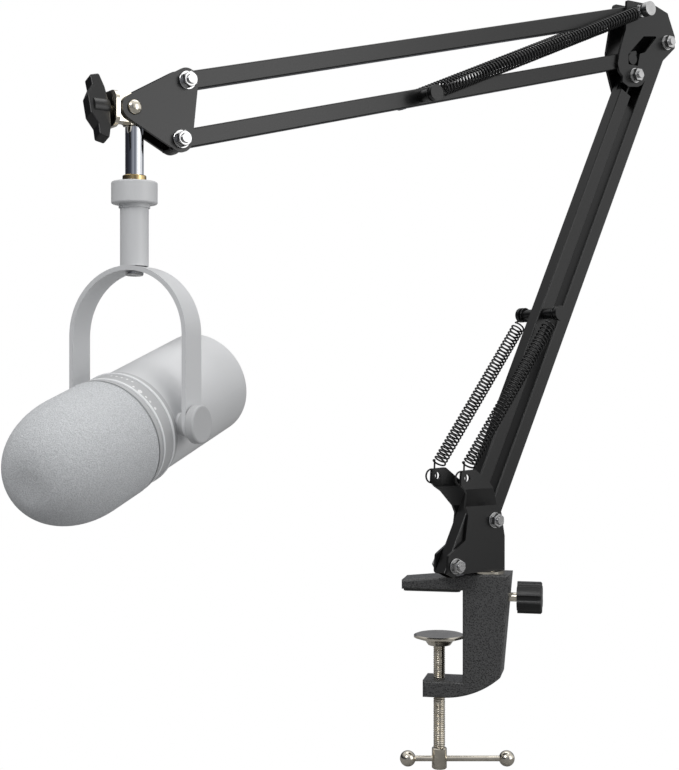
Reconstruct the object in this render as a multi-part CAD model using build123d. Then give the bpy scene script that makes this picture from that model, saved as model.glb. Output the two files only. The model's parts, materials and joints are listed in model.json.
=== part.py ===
from build123d import *
import math
import os

# A studio microphone in its yoke, hanging from a sprung scissor boom arm that clamps
# to a desk edge. Millimetres. +Z is up. The origin is on the desk top, in the middle
# of the clamp's screw axis, where the upper jaw rests. +X runs along the jaws, from
# the throat towards the post. Nodes of the arm are drawn in the arm's own plane,
# as (u, v) points, with n as the distance out of that plane, and then turned into place.

# ---- driving dimensions: clamp ----
JAW_DEPTH = 26.0            # width of the casting across the jaws
THROAT = 60.0               # clear height between the jaws
JAW_TIP_X = -23.5
POST_INNER_X = 17.0
POST_OUTER_X = 48.0
POST_FOOT_X = 42.0
JAW_TIP_THICK = 6.0
JAW_ROOT_THICK = 10.0
LOWER_JAW_THICK = 11.0
LOWER_JAW_TIP_X = -9.5
BOSS_TOP_Z = 12.3
JAW_PAD_THICK = 1.2
CASTING_EDGE = 1.6          # rounding of the casting's edges
HEEL_ROUND = 3.0            # corner between the post's back and its curved foot
SCREW_R = 3.4               # root of the M8 clamp screw
SCREW_CLEAR = 0.06
PRESS_PAD_R = 17.0
PRESS_PAD_TOP_Z = -30.0
PRESS_PAD_HEIGHT = 7.0
HUB_TOP_Z = -105.5
HUB_BOTTOM_Z = -119.5
HUB_R = 5.0
TOMMY_Z = -113.0
TOMMY_R = 1.9
TOMMY_CLEAR = 0.08
TOMMY_LENGTH = 66.0
TOMMY_SLID = 12.0           # how far the bar is slid through its hub at rest
TOMMY_ANGLE = 12.0
BALL_R = 5.3
PIN_X = 32.0                # swivel pin axis
PIN_R = 6.0
PIN_SPIGOT_R = 4.2          # riveted through the bracket's folded web
PIN_HEAD_R = 4.9
PIN_CLEAR = 0.05
PIN_LENGTH = 42.0
BUSH_WALL = 1.5
BUSH_FLANGE_R = 11.5
BUSH_FLANGE_THICK = 1.3
LOCK_Z = -3.7
LOCK_SCREW_R = 3.0
LOCK_KNOB_R = 10.5
LOCK_KNOB_LENGTH = 16.0
LOCK_KNOB_GAP = 4.0         # bare screw between the post and the knob
LOCK_LOBES = 6

# ---- driving dimensions: arm ----
ARM_AZIMUTH = 47.0          # direction of the arm's plane about the swivel pin
PIN_U = 33.0                # swivel pin, right of the lower-left bolt
ARM_Z = 19.3                # height of the lower-left bolt above the desk
BASE_LINK_U = 33.0          # from the lower-left bolt to the right one
BASE_LINK_V = 28.0
LOWER_LENGTH = 376.0        # bolt to bolt
LOWER_LEAN = 26.1           # from the vertical
UPPER_LENGTH = 376.0
UPPER_DIP = 14.6            # below the horizontal, towards the head
ELBOW_STEP_U = -1.5         # from the lower bar's bolt to the upper bar's pin
ELBOW_STEP_V = 12.0
HEAD_LINK_U = 3.7           # from a lower pivot of the upper arm to the one above
HEAD_LINK_V = 33.5
BAR_WIDTH = 10.5
BAR_DEPTH = 10.0
BAR_WALL = 1.2
BAR_END = 7.0               # bar beyond its pivot
LAP_LENGTH = 14.0           # half-lap of the two bars that cross at the elbow
LAP_GAP = 0.2
BOLT_R = 2.5
PIVOT_CLEAR = 0.05
PLATE_GAP = 0.2             # between a bar and the plate beside it
PLATE_THICK = 2.0
WASHER_R = 5.2
WASHER_THICK = 1.0
NUT_FLATS = 8.0
NUT_THICK = 4.0
BOLT_TIP = 1.6              # bolt showing beyond its nut
HEX_HEAD_THICK = 3.5
THREAD_CLEAR = 0.02
SPRING_N = 15.0             # middle of a spring, out from the arm's plane
SPRING_R = 4.4
SPRING_WIRE_R = 0.6
SPRING_LOOP_R = 4.4         # middle line of an end loop
SPRING_END = 10.0           # from a loop's centre to the start of the coils
LOWER_PIN_AT = 184.0        # spring pin along the lower bar
UPPER_PIN_AT = 196.0        # spring pin along the upper bar, from the elbow
SPRING_PIN_R = 2.8
SPRING_PIN_SHOULDER_R = 3.6
SPRING_PIN_HALF = 20.0
SPRING_PIN_HEAD_R = 5.0
EAR_U = 2.4                 # hook hole of the base bracket
EAR_V = 57.2
EAR_HOLE_R = 2.4
EAR_BEND_LOW = 38.0         # the ears lean outwards between these heights
EAR_BEND_HIGH = 50.0
WEB_THICK = 2.5             # folded bottom of the base bracket
BRACKET_FOOT_V = -5.5

# ---- driving dimensions: head and post ----
KNUCKLE_U = -29.0           # rivet, from the head's lower bolt
KNUCKLE_V = 14.7
HEAD_PLATE_R = 7.2
KNUCKLE_HALF = 5.0
KNUCKLE_R = 8.0
RIVET_R = 3.0
RIVET_HEAD_R = 4.2
POST_STEP = 3.5             # post axis, right of the rivet
POST_R = 5.1
POST_NECK_R = 2.6
POST_TOP = -9.3             # heights below the rivet
POST_BOTTOM = -49.0
ADAPTER_TOP = -36.5
ADAPTER_R = 6.6
ADAPTER_RING = 3.6
FLANGE_U = -9.8             # washer plate that the wing knob bears on
FLANGE_SIZE = 20.0
FLANGE_THICK = 2.4
WING_SCREW_R = 2.5
WING_GAP = 1.2
WING_HUB_R = 5.5
WING_HUB_LENGTH = 9.0
WING_SPAN = 40.0
WING_THICK = 8.0
WING_TILT = 20.0

# ---- driving dimensions: microphone ----
MIC_YAW = -61.0             # width axis of the yoke, from the arm's plane
MIC_TILT = 17.5             # nose down
COLLAR_TOP = -40.1
COLLAR_BOTTOM = -52.4
COLLAR_R = 12.8
STEM_R = 7.9
YOKE_TOP = -86.8
YOKE_PIVOT = -174.0
BODY_R = 31.0
YOKE_HALF = BODY_R + 7.5
YOKE_BAND = 16.0
YOKE_THICK = 2.6
YOKE_PAD_R = 6.4
YOKE_KNOB_R = 10.6
YOKE_KNOB_THICK = 5.5
YOKE_STUD_R = 3.0
BODY_WALL = 2.2
BODY_REAR = 75.0            # behind the tilt axis
BODY_FRONT = 7.0            # ahead of it
RING_FRONT = 25.0
RING_R = BODY_R + 1.0
TRIM_R = BODY_R + 1.8
TRIM_THICK = 1.6
GRILLE_R = BODY_R - 4.5
GRILLE_WALL = 1.0
GRILLE_TIP = 86.0
FOAM_R = BODY_R + 2.5
FOAM_REAR = 26.8
FOAM_SHOULDER = 54.0
FOAM_TIP = 96.0
FOAM_WALL = 6.0
CAPSULE_R = 14.0

DEG = math.pi / 180


# ---- helpers ----
def to_row(shape):
    """Turn a shape from the arm's own frame into the part's frame."""
    turned = Pos(-PIN_U, 0, 0) * shape
    return Pos(PIN_X, 0, ARM_Z) * Rot(0, 0, ARM_AZIMUTH) * turned


def side(face, n_low, n_high):
    """Extrude a (u, v) face between two distances out of the arm's plane."""
    return extrude(Plane.XZ.offset(n_low) * face, n_high - n_low)


def disc(point, radius, n_low, n_high):
    return side(Pos(point[0], point[1]) * Circle(radius), n_low, n_high)


def hexagon(point, flats, n_low, n_high):
    sketch = Pos(point[0], point[1]) * RegularPolygon(flats / 2, 6, major_radius=False)
    return side(sketch, n_low, n_high)


def outline(points, radius):
    face = make_face(Polyline(*points, close=True))
    return fillet(face.vertices(), radius)


def add(point, step):
    return (point[0] + step[0], point[1] + step[1])


def along(point, direction, distance):
    return (point[0] + direction[0] * distance, point[1] + direction[1] * distance)


def upright(radius, low, high):
    """A cylinder on the Z axis between two heights."""
    return Pos(0, 0, low) * Cylinder(radius, high - low, align=(Align.CENTER, Align.CENTER, Align.MIN))


def save(name, shape):
    os.makedirs("parts", exist_ok=True)
    export_step(shape, "parts/" + name + ".step")


def group(shapes):
    return Compound([solid for shape in shapes for solid in shape.solids()])


# ---- pivots of the linkage, in the arm's plane ----
LOWER_DIR = (math.sin(LOWER_LEAN * DEG), math.cos(LOWER_LEAN * DEG))
UPPER_DIR = (-math.cos(UPPER_DIP * DEG), -math.sin(UPPER_DIP * DEG))
BASE_LEFT = (0.0, 0.0)
BASE_RIGHT = (BASE_LINK_U, BASE_LINK_V)
ELBOW_LEFT = along(BASE_LEFT, LOWER_DIR, LOWER_LENGTH)
ELBOW_RIGHT = along(BASE_RIGHT, LOWER_DIR, LOWER_LENGTH)
ELBOW_LOW = add(ELBOW_LEFT, (ELBOW_STEP_U, ELBOW_STEP_V))
ELBOW_HIGH = add(ELBOW_LOW, (HEAD_LINK_U, HEAD_LINK_V))
HEAD_LOW = along(ELBOW_LOW, UPPER_DIR, UPPER_LENGTH)
HEAD_HIGH = along(ELBOW_HIGH, UPPER_DIR, UPPER_LENGTH)
RIVET = add(HEAD_LOW, (KNUCKLE_U, KNUCKLE_V))
POST_U = RIVET[0] + POST_STEP
LOWER_SPRING_PIN = along(BASE_LEFT, LOWER_DIR, LOWER_PIN_AT)
UPPER_SPRING_PIN = along(ELBOW_LOW, UPPER_DIR, UPPER_PIN_AT)
HALF = BAR_DEPTH / 2
INNER = HALF + PLATE_GAP
OUTER = INNER + PLATE_THICK


# ---- clamp ----
def clamp_frame():
    top = JAW_PAD_THICK
    throat_foot = JAW_PAD_THICK - THROAT
    foot = throat_foot - LOWER_JAW_THICK
    profile = make_face([
        Polyline((LOWER_JAW_TIP_X, foot), (LOWER_JAW_TIP_X, throat_foot), (POST_INNER_X, throat_foot),
                 (POST_INNER_X, top), (JAW_TIP_X, top), (JAW_TIP_X, top + JAW_TIP_THICK),
                 (POST_INNER_X, top + JAW_ROOT_THICK), (POST_INNER_X + 2, BOSS_TOP_Z),
                 (POST_OUTER_X, BOSS_TOP_Z), (POST_FOOT_X, throat_foot + 4)),
        ThreePointArc((POST_FOOT_X, throat_foot + 4), (26.0, foot + 4.6), (4.0, foot)),
        Line((4.0, foot), (LOWER_JAW_TIP_X, foot)),
    ])
    heel = profile.vertices().sort_by_distance((POST_FOOT_X, throat_foot + 4, 0))[0]
    profile = fillet(heel, HEEL_ROUND)
    body = extrude(Plane.XZ.offset(-JAW_DEPTH / 2) * profile, JAW_DEPTH)
    flanks = body.faces().sort_by(Axis.Y)
    body = fillet(flanks[0].edges() + flanks[-1].edges(), CASTING_EDGE)
    bush_r = PIN_R + PIN_CLEAR + BUSH_WALL
    bore = Pos(PIN_X, 0, 0) * upright(bush_r + THREAD_CLEAR, BOSS_TOP_Z - PIN_LENGTH - 2, BOSS_TOP_Z + 1)
    screw_hole = upright(SCREW_R + SCREW_CLEAR, foot - 1, throat_foot + 1)
    lock_hole = Pos(PIN_X, 0, LOCK_Z) * Rot(0, 90, 0) * upright(LOCK_SCREW_R + THREAD_CLEAR, 0, 30)
    return body - bore - screw_hole - lock_hole


def jaw_pad():
    length = POST_INNER_X - JAW_TIP_X - 3
    centre = (JAW_TIP_X + POST_INNER_X) / 2 - 0.5
    pad = Pos(centre, 0, JAW_PAD_THICK / 2) * Box(length, JAW_DEPTH - 2, JAW_PAD_THICK)
    return fillet(pad.edges().filter_by(Axis.Z), 3.0)


def swivel_bush():
    bore_r = PIN_R + PIN_CLEAR
    sleeve = upright(bore_r + BUSH_WALL, BOSS_TOP_Z - PIN_LENGTH - 1, BOSS_TOP_Z)
    flange = upright(BUSH_FLANGE_R, BOSS_TOP_Z, BOSS_TOP_Z + BUSH_FLANGE_THICK)
    bore = upright(bore_r, BOSS_TOP_Z - PIN_LENGTH, BOSS_TOP_Z + 5)
    window = Pos(0, 0, LOCK_Z) * Rot(0, 90, 0) * upright(LOCK_SCREW_R + 0.3, 0, 12)
    return Pos(PIN_X, 0, 0) * (sleeve + flange - bore - window)


def lock_screw():
    start = PIN_R + 0.4
    end = POST_OUTER_X + LOCK_KNOB_GAP - PIN_X + LOCK_KNOB_LENGTH - 4
    return Pos(PIN_X, 0, LOCK_Z) * Rot(0, 90, 0) * upright(LOCK_SCREW_R, start, end)


def lock_knob():
    start = POST_OUTER_X + LOCK_KNOB_GAP
    sketch = Circle(LOCK_KNOB_R)
    for i in range(LOCK_LOBES):
        sketch -= Rot(0, 0, i * 360 / LOCK_LOBES + 30) * Pos(LOCK_KNOB_R + 1.6, 0) * Circle(3.2)
    knob = extrude(sketch, LOCK_KNOB_LENGTH)
    knob = chamfer(knob.faces().sort_by(Axis.Z)[-1].edges(), 0.8)
    knob -= Pos(0, 0, -1) * Cylinder(LOCK_SCREW_R + THREAD_CLEAR, LOCK_KNOB_LENGTH - 3,
                                     align=(Align.CENTER, Align.CENTER, Align.MIN))
    return Pos(start, 0, LOCK_Z) * Rot(0, 90, 0) * knob


def press_pad():
    top = PRESS_PAD_TOP_Z
    profile = make_face(Polyline(
        (0, top), (PRESS_PAD_R - 1.5, top), (PRESS_PAD_R, top - 0.6), (PRESS_PAD_R, top - 1.8), (9.5, top - 4.2),
        (7.5, top - PRESS_PAD_HEIGHT), (SCREW_R + 0.3, top - PRESS_PAD_HEIGHT),
        (SCREW_R + 0.3, top - 2.4), (0, top - 2.4), close=True))
    return revolve(Plane.XZ * profile, Axis.Z)


def clamp_screw():
    tip = PRESS_PAD_TOP_Z - 2.7
    rod = upright(SCREW_R, HUB_TOP_Z, tip)
    hub = upright(HUB_R, HUB_BOTTOM_Z, HUB_TOP_Z)
    hub = chamfer(hub.edges(), 0.6)
    hole = Rot(0, 0, TOMMY_ANGLE) * Pos(0, 0, TOMMY_Z) * Rot(0, 90, 0) * Cylinder(TOMMY_R + TOMMY_CLEAR, 30)
    return rod + hub - hole


def tommy_place(shape):
    return Rot(0, 0, TOMMY_ANGLE) * Pos(TOMMY_SLID, 0, TOMMY_Z) * Rot(0, 90, 0) * shape


def tommy_bar():
    return tommy_place(Cylinder(TOMMY_R, TOMMY_LENGTH))


def tommy_balls():
    balls = []
    for end in (-1, 1):
        ball = Pos(0, 0, end * TOMMY_LENGTH / 2) * Sphere(BALL_R)
        balls.append(tommy_place(ball - Cylinder(TOMMY_R, TOMMY_LENGTH)))
    return group(balls)


# ---- fasteners through the plates ----
def pivot_bolt(point):
    """Hex head behind the rear plate, plain shank, tip in front of the nut."""
    tip = OUTER + WASHER_THICK + NUT_THICK + BOLT_TIP
    shank = disc(point, BOLT_R, -OUTER - WASHER_THICK, tip)
    head = hexagon(point, NUT_FLATS, -OUTER - WASHER_THICK - HEX_HEAD_THICK, -OUTER - WASHER_THICK)
    return shank + head


def pivot_nut(point, start):
    nut = hexagon(point, NUT_FLATS, start, start + NUT_THICK)
    nut = nut - disc(point, BOLT_R + THREAD_CLEAR, start - 1, start + NUT_THICK + 1)
    return nut


def washer(point, start):
    ring = disc(point, WASHER_R, start, start + WASHER_THICK)
    return ring - disc(point, BOLT_R + THREAD_CLEAR, start - 1, start + WASHER_THICK + 1)


def bolt_set(prefix, points, more_bolts=(), more_nuts=()):
    bolts = [pivot_bolt(p) for p in points]
    nuts = [pivot_nut(p, OUTER + WASHER_THICK) for p in points]
    washers = [washer(p, start) for p in points for start in (OUTER, -OUTER - WASHER_THICK)]
    save(prefix + "_bolts", to_row(group(bolts + list(more_bolts))))
    save(prefix + "_nuts_and_washers", to_row(group(nuts + washers + list(more_nuts))))


def plate_holes(plate, points, radius):
    for point in points:
        plate -= disc(point, radius, -60, 60)
    return plate


# ---- base bracket ----
def base_bracket():
    shape = outline([
        (-7.0, BRACKET_FOOT_V), (42.0, BRACKET_FOOT_V), (42.0, 17.0), (39.0, 33.0), (21.0, 54.0),
        (9.0, 62.5), (-2.5, 62.0), (-3.0, 53.0), (4.0, 47.0), (10.5, 33.0), (8.0, 16.0), (-6.0, 7.0)], 2.2)
    prism = side(shape, -30, 30)
    lean = SPRING_N + PLATE_THICK / 2
    bent = make_face(Polyline(
        (-INNER, BRACKET_FOOT_V), (-INNER, EAR_BEND_LOW), (-lean + PLATE_THICK, EAR_BEND_HIGH),
        (-lean + PLATE_THICK, 70), (-lean, 70), (-lean, EAR_BEND_HIGH), (-OUTER, EAR_BEND_LOW),
        (-OUTER, BRACKET_FOOT_V), close=True))
    front = Pos(-20, 0, 0) * extrude(Plane.YZ * bent, 80)
    rear = mirror(front, Plane.XZ)
    web = Pos(30.0, 0, BRACKET_FOOT_V + WEB_THICK / 2) * Box(24.0, 2 * OUTER, WEB_THICK)
    bracket = (prism & front) + (prism & rear) + web
    bracket = plate_holes(bracket, [BASE_LEFT, BASE_RIGHT], BOLT_R + THREAD_CLEAR)
    bracket = plate_holes(bracket, [(EAR_U, EAR_V)], EAR_HOLE_R)
    bracket -= Pos(PIN_U, 0, BRACKET_FOOT_V - 1) * upright(PIN_SPIGOT_R + THREAD_CLEAR, 0, WEB_THICK + 2)
    return bracket


def swivel_pin():
    foot = BOSS_TOP_Z - PIN_LENGTH + 0.5 - ARM_Z
    shank = upright(PIN_R, foot, BRACKET_FOOT_V)
    spigot = upright(PIN_SPIGOT_R, BRACKET_FOOT_V, BRACKET_FOOT_V + WEB_THICK)
    head = upright(PIN_HEAD_R, BRACKET_FOOT_V + WEB_THICK, BRACKET_FOOT_V + WEB_THICK + 1.5)
    return Pos(PIN_U, 0, 0) * (shank + spigot + head)


# ---- bars ----
def bar(start, direction, length, holes, lap=0):
    """A square tube from one pivot to another. lap keeps one half of the far end."""
    turn = math.degrees(math.atan2(direction[1], direction[0]))
    outer = Box(length + 2 * BAR_END, BAR_DEPTH, BAR_WIDTH)
    inner = Box(length + 2 * BAR_END + 2, BAR_DEPTH - 2 * BAR_WALL, BAR_WIDTH - 2 * BAR_WALL)
    tube = outer - inner
    tube = fillet(outer.edges().filter_by(Axis.X), 0.9) - inner
    if lap:
        cut = Box(LAP_LENGTH + BAR_END, BAR_DEPTH, BAR_WIDTH + 2)
        place = length / 2 + BAR_END - (LAP_LENGTH + BAR_END) / 2
        tube -= Pos(place, -lap * (HALF - LAP_GAP), 0) * cut
    tube = Pos(length / 2, 0, 0) * tube
    tube = Pos(start[0], 0, start[1]) * Rot(0, -turn, 0) * tube
    for point, radius in holes:
        tube -= disc(point, radius, -HALF - 1, HALF + 1)
    return tube


def spring_pin(point):
    core = disc(point, SPRING_PIN_R - THREAD_CLEAR, -HALF, HALF)
    pin = core
    for end in (-1, 1):
        low, high = sorted((end * HALF, end * (SPRING_N - 2.2)))
        pin += disc(point, SPRING_PIN_SHOULDER_R, low, high)
        low, high = sorted((end * (SPRING_N - 2.2), end * (SPRING_N + 2.2)))
        pin += disc(point, SPRING_PIN_R, low, high)
        low, high = sorted((end * (SPRING_N + 2.2), end * SPRING_PIN_HALF))
        pin += disc(point, SPRING_PIN_HEAD_R, low, high)
    return pin


# ---- springs ----
def spring(loop_a, loop_b, n, through_b):
    """Envelope tube of the coils between two pivots, with a wire loop at each end."""
    span = math.dist(loop_a, loop_b)
    turn = math.degrees(math.atan2(loop_b[1] - loop_a[1], loop_b[0] - loop_a[0]))
    inset = SPRING_LOOP_R if through_b else 0
    reach = span - inset
    coils = reach - 2 * SPRING_END
    tube = Cylinder(SPRING_R, coils) - Cylinder(SPRING_R - 2 * SPRING_WIRE_R, coils)
    tube = Pos(reach / 2, 0, 0) * Rot(0, 90, 0) * tube
    loop = Rot(90, 0, 0) * Torus(SPRING_LOOP_R, SPRING_WIRE_R)
    far = Torus(SPRING_LOOP_R, SPRING_WIRE_R) if through_b else loop
    shape = tube + loop + Pos(reach, 0, 0) * far
    wire_r = SPRING_WIRE_R
    for low in (SPRING_LOOP_R - 0.2, reach - SPRING_END - 0.6):
        length = SPRING_END - SPRING_LOOP_R + 0.8
        stem = Pos(low + length / 2, 0, 0) * Rot(0, 90, 0) * Cylinder(wire_r, length)
        shape += stem
    for low in (SPRING_END, reach - SPRING_END):
        bridge = Pos(low, 0, 0) * Cylinder(wire_r, 2 * SPRING_R - 1.0)
        shape += bridge
    return Pos(loop_a[0], -n, loop_a[1]) * Rot(0, -turn, 0) * shape


# ---- elbow ----
def from_elbow(points):
    """Points measured from the elbow's left bolt, so that its plates follow the arm's length."""
    return [add(ELBOW_LEFT, point) for point in points]


def elbow_front_plate():
    """A broad cheek, with a slanted window that also clears the pin's head."""
    shape = outline(from_elbow([
        (-7.4, 52.8), (21.6, 53.3), (34.6, 49.8), (42.2, 34.3), (42.2, 25.3), (24.6, 10.3), (11.1, -1.7),
        (7.6, -5.6), (3.7, -7.5), (-5.9, -8.6), (-12.2, -6.0), (-11.8, -1.5), (-15.0, 1.0), (-16.9, 6.2),
        (-15.0, 14.4), (-11.2, 25.6), (-8.7, 31.7)]), 1.2)
    shape -= outline(from_elbow([
        (-6.2, 7.3), (-6.2, 15.0), (-3.4, 17.4), (9.5, 29.4), (23.8, 31.5), (10.8, 18.0), (5.6, 16.4), (3.4, 7.3)]), 0.8)
    plate = side(shape, INNER, OUTER)
    return plate_holes(plate, [ELBOW_LEFT, ELBOW_RIGHT, ELBOW_HIGH], BOLT_R + THREAD_CLEAR)


def elbow_rear_plate():
    shape = outline(from_elbow([
        (-7.4, 52.8), (21.6, 53.3), (34.6, 49.8), (42.2, 34.3), (42.2, 25.3), (24.6, 10.3), (7.1, -15.7),
        (-7.4, -14.7), (-14.4, 4.3), (-15.4, 16.3)]), 3.0)
    plate = side(shape, -OUTER, -INNER)
    return plate_holes(plate, [ELBOW_LEFT, ELBOW_RIGHT, ELBOW_HIGH, ELBOW_LOW], BOLT_R + THREAD_CLEAR)


def elbow_pin():
    """Riveted into the rear plate alone, with a low head over the bar's lapped end."""
    pin = disc(ELBOW_LOW, BOLT_R, -OUTER, HALF + 0.3)
    pin += disc(ELBOW_LOW, BOLT_R + 1.5, -OUTER - 1.4, -OUTER)
    pin += disc(ELBOW_LOW, BOLT_R + 1.6, HALF + 0.3, HALF + 2.0)
    return pin


def elbow_spring_bolt():
    end = SPRING_PIN_HALF - 1.0
    rod = disc(ELBOW_HIGH, BOLT_R, -end, end)
    return rod


def elbow_spring_nuts():
    nuts = []
    for start in (OUTER, -OUTER - NUT_THICK):
        nuts.append(pivot_nut(ELBOW_HIGH, start))
    for end in (-1, 1):
        low, high = sorted((end * (SPRING_N + 1.4), end * (SPRING_PIN_HALF + 0.6)))
        cap = disc(ELBOW_HIGH, SPRING_PIN_HEAD_R, low, high)
        core = sorted((end * SPRING_N, end * (SPRING_PIN_HALF - 1.0)))
        nuts.append(cap - disc(ELBOW_HIGH, BOLT_R + THREAD_CLEAR, core[0], core[1]))
    return nuts


# ---- head ----
def head_plate(n_low, n_high):
    circles = [Pos(p[0], p[1]) * Circle(HEAD_PLATE_R) for p in (RIVET, HEAD_HIGH, HEAD_LOW)]
    edges = [edge for circle in circles for edge in circle.edges()]
    plate = side(make_hull(edges), n_low, n_high)
    plate = plate_holes(plate, [HEAD_HIGH, HEAD_LOW], BOLT_R + THREAD_CLEAR)
    return plate_holes(plate, [RIVET], RIVET_R + PIVOT_CLEAR)


def head_rivets():
    """Two stub rivets, one each side, set in the knuckle and turning in the plates."""
    rivets = []
    for end in (-1, 1):
        low, high = sorted((end * (KNUCKLE_HALF - 2.0), end * (OUTER + 0.2)))
        rivet = disc(RIVET, RIVET_R, low, high)
        half_ball = Sphere(RIVET_HEAD_R, arc_size1=0, align=(Align.CENTER, Align.CENTER, Align.MIN))
        dome = Pos(RIVET[0], -end * (OUTER + 0.2), RIVET[1]) * Rot(end * 90, 0, 0) * scale(
            half_ball, by=(1, 1, 0.6))
        rivets.append(rivet + dome)
    return group(rivets)


def knuckle():
    """Nickel block between the plates: rivet eye, post socket and threaded nose."""
    eye = disc(RIVET, KNUCKLE_R, -KNUCKLE_HALF, KNUCKLE_HALF)
    nose = Pos(RIVET[0] + FLANGE_U / 2, 0, RIVET[1]) * Box(-FLANGE_U, 2 * KNUCKLE_HALF, 2 * KNUCKLE_R)
    skirt = Pos(POST_U, 0, RIVET[1] + POST_TOP / 2) * Box(9.0, 2 * KNUCKLE_HALF, -POST_TOP - 0.1)
    block = eye + nose + skirt
    block -= Pos(POST_U, 0, RIVET[1]) * upright(POST_NECK_R + PIVOT_CLEAR, POST_TOP - 1, 3.0)
    screw_hole = Pos(RIVET[0], 0, RIVET[1] - 1.5) * Rot(0, -90, 0) * upright(WING_SCREW_R + 0.06, -1, 20)
    block -= screw_hole
    for end in (-1, 1):
        low, high = sorted((end * (KNUCKLE_HALF - 2.0), end * (KNUCKLE_HALF + 1)))
        block -= disc(RIVET, RIVET_R, low, high)
    return block


def wing_axis(shape):
    """Place a shape built on +Z so that it points out along the wing screw."""
    return Pos(RIVET[0], 0, RIVET[1] - 1.5) * Rot(0, -90, 0) * shape


def knuckle_flange():
    plate = extrude(RectangleRounded(FLANGE_SIZE, FLANGE_SIZE, 6.0), FLANGE_THICK)
    plate -= Cylinder(WING_SCREW_R + 0.1, 20)
    return wing_axis(Pos(0, 0, -FLANGE_U) * plate)


def wing_screw():
    start = -POST_STEP + POST_NECK_R + 0.8
    end = -FLANGE_U + FLANGE_THICK + WING_GAP + WING_HUB_LENGTH - 2
    return wing_axis(upright(WING_SCREW_R, start, end))


def wing_knob():
    start = -FLANGE_U + FLANGE_THICK + WING_GAP
    hub = Cylinder(WING_HUB_R, WING_HUB_LENGTH, align=(Align.CENTER, Align.CENTER, Align.MIN))
    half = WING_SPAN / 2
    wing = outline([(-half, 3.0), (-half + 1.5, 8.6), (-12.0, 8.4), (-5.5, 11.8), (5.5, 11.8), (12.0, 8.4),
                    (half - 1.5, 8.6), (half, 3.0), (12.0, 0.8), (5.0, 0.0), (-5.0, 0.0), (-12.0, 0.8)], 1.2)
    blade = extrude(Plane.XZ.offset(-WING_THICK / 2) * wing, WING_THICK)
    blade = fillet(blade.edges().filter_by(Axis.Y, reverse=True), 0.9)
    knob = hub + blade
    knob -= Pos(0, 0, -1) * Cylinder(WING_SCREW_R + THREAD_CLEAR, WING_HUB_LENGTH - 1,
                                     align=(Align.CENTER, Align.CENTER, Align.MIN))
    return wing_axis(Pos(0, 0, start) * Rot(0, 0, WING_TILT) * knob)


# ---- post ----
def post_place(shape):
    """Place a shape built on the post's axis, with height 0 at the rivet."""
    return Pos(POST_U, 0, RIVET[1]) * shape


def mic_post():
    neck = upright(POST_NECK_R, POST_TOP, 2.6)
    shaft = upright(POST_R, ADAPTER_TOP, POST_TOP - 0.15)
    shaft = chamfer(shaft.edges().sort_by(Axis.Z)[-1], 0.6)
    thread = upright(POST_R - 0.6, POST_BOTTOM, ADAPTER_TOP)
    return post_place(neck + upright(POST_NECK_R, POST_TOP - 1, POST_TOP) + shaft + thread)


def thread_adapter():
    ring = upright(ADAPTER_R, ADAPTER_TOP - ADAPTER_RING, ADAPTER_TOP)
    ring = chamfer(ring.edges(), 0.4)
    sleeve = upright(ADAPTER_R - 0.6, POST_BOTTOM, ADAPTER_TOP - ADAPTER_RING)
    return post_place(ring + sleeve - upright(POST_R - 0.6 + THREAD_CLEAR, POST_BOTTOM - 1, ADAPTER_TOP + 1))


# ---- microphone yoke ----
def mic_place(shape):
    """Place a shape from the yoke's frame: X across the yoke, -Y ahead, origin on the tilt axis."""
    return Pos(POST_U, 0, RIVET[1] + YOKE_PIVOT) * Rot(0, 0, MIC_YAW) * shape


def nose_place(shape):
    """Place a shape from the body's own frame: the tilt axis on X, the nose along +Z."""
    return mic_place(Rot(MIC_TILT, 0, 0) * Rot(90, 0, 0) * shape)


def yoke_collar():
    ring = upright(COLLAR_R, COLLAR_BOTTOM, COLLAR_TOP)
    ring = fillet(ring.edges(), 1.0)
    return post_place(ring - upright(ADAPTER_R - 0.6 + THREAD_CLEAR, COLLAR_BOTTOM - 1, COLLAR_TOP + 1))


def yoke_stem():
    stem = upright(STEM_R, YOKE_TOP, COLLAR_BOTTOM)
    lip = upright(STEM_R + 0.8, COLLAR_BOTTOM - 2.2, COLLAR_BOTTOM)
    return post_place(stem + lip - upright(2.1, YOKE_TOP - 1, YOKE_TOP + 12))


def yoke_arch(half, rise):
    """Half outline of the band at one offset: a leg, then a quarter round arch."""
    straight = rise - half
    return [Line((half, 0), (half, straight)),
            ThreePointArc((half, straight), (0, rise), (-half, straight)),
            Line((-half, straight), (-half, 0))]


def yoke_band():
    rise = YOKE_TOP - YOKE_PIVOT
    inner = YOKE_HALF - YOKE_THICK
    face = make_face(yoke_arch(YOKE_HALF, rise) + [Line((-YOKE_HALF, 0), (-inner, 0))]
                     + yoke_arch(inner, rise - YOKE_THICK) + [Line((inner, 0), (YOKE_HALF, 0))])
    band = extrude(Plane.XZ.offset(-YOKE_BAND / 2) * face, YOKE_BAND)
    for end in (-1, 1):
        low = min(end * inner, end * YOKE_HALF)
        foot = Pos(low, 0, 0) * Rot(0, 90, 0) * upright(YOKE_BAND / 2, 0, YOKE_THICK)
        band += foot
    band -= Rot(0, 90, 0) * Cylinder(YOKE_STUD_R + 0.15, 3 * YOKE_HALF)
    band -= Pos(0, 0, rise) * Cylinder(2.1, 12)
    return mic_place(band)


def yoke_screw():
    rise = YOKE_TOP - YOKE_PIVOT
    seat = rise - YOKE_THICK - 0.45
    head = upright(5.0, seat - 2.4, seat)
    head = fillet(head.edges().sort_by(Axis.Z)[0], 1.2)
    head -= Pos(0, 0, seat - 2.5) * extrude(RegularPolygon(1.7, 6), 1.4)
    shank = upright(2.0, seat, rise + 10)
    return mic_place(head + shank)


def across(end, low, high, radius):
    """A cylinder on the tilt axis, between two distances out from the middle."""
    start, stop = sorted((end * low, end * high))
    return Pos(start, 0, 0) * Rot(0, 90, 0) * upright(radius, 0, stop - start)


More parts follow.
